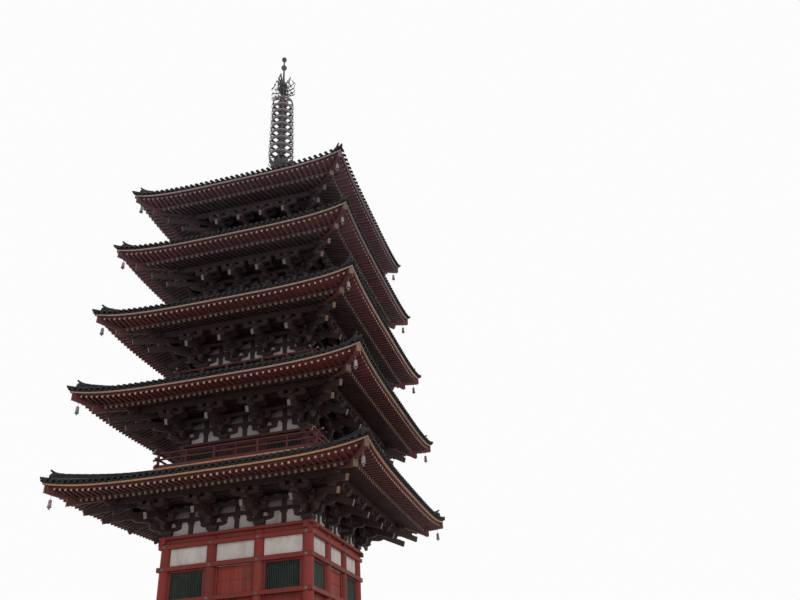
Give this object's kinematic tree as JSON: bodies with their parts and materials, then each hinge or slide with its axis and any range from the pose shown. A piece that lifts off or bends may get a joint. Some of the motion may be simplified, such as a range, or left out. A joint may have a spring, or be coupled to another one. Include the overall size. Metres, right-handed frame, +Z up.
{
  "type": "five-storey timber pagoda",
  "caption": "Square timber pagoda with a tiled, upturned roof over each storey, bracketed eaves, balconies and a bronze spire, on a stone podium.",
  "frame": {"origin": "on the ground, at the middle of the podium's underside", "axes": "+Z up along the spire, -Y towards the front steps, +X towards the right steps"},
  "size_m": [15.008, 15.008, 39.718],
  "materials": {
    "stone": "dressed grey granite, weathered, with dirt in the joints",
    "vermilion": "timber painted vermilion, matt and weathered",
    "dark_vermilion": "rafters and brackets painted dark red, matt, dusty in the corners",
    "door_timber": "board doors painted red, with dark iron fittings",
    "tile": "fired grey roof tile, slightly smoked, with lichen in patches",
    "bronze": "cast bronze gone dark, with a green tinge",
    "white_plaster": "lime plaster, matt, greyed at its edges",
    "pale_paint": "eave board and rafter ends painted in a pale tan",
    "gilt": "gilded caps on the tail rafters, dulled"
  },
  "bodies": {
    "root": {"podium": "stone", "front_steps": "stone", "right_steps": "stone", "back_steps": "stone", "left_steps": "stone", "wall_1": "vermilion", "front_doors": "door_timber", "right_doors": "door_timber", "back_doors": "door_timber", "left_doors": "door_timber", "brackets_1": "dark_vermilion", "eaves_1": "dark_vermilion", "roof_1": "tile", "deck_2": "vermilion", "balustrade_2": "vermilion", "wall_2": "vermilion", "doors_2": "door_timber", "brackets_2": "dark_vermilion", "eaves_2": "dark_vermilion", "roof_2": "tile", "deck_3": "vermilion", "balustrade_3": "vermilion", "wall_3": "vermilion", "doors_3": "door_timber", "brackets_3": "dark_vermilion", "eaves_3": "dark_vermilion", "roof_3": "tile", "deck_4": "vermilion", "balustrade_4": "vermilion", "wall_4": "vermilion", "doors_4": "door_timber", "brackets_4": "dark_vermilion", "eaves_4": "dark_vermilion", "roof_4": "tile", "deck_5": "vermilion", "balustrade_5": "vermilion", "wall_5": "vermilion", "doors_5": "door_timber", "brackets_5": "dark_vermilion", "eaves_5": "dark_vermilion", "roof_5": "tile", "dew_basin": "bronze", "inverted_bowl": "bronze", "lotus_cup": "bronze", "nine_rings": "bronze", "water_flame": "bronze", "dragon_ball": "bronze", "jewel": "bronze"}
  },
  "joints": []
}
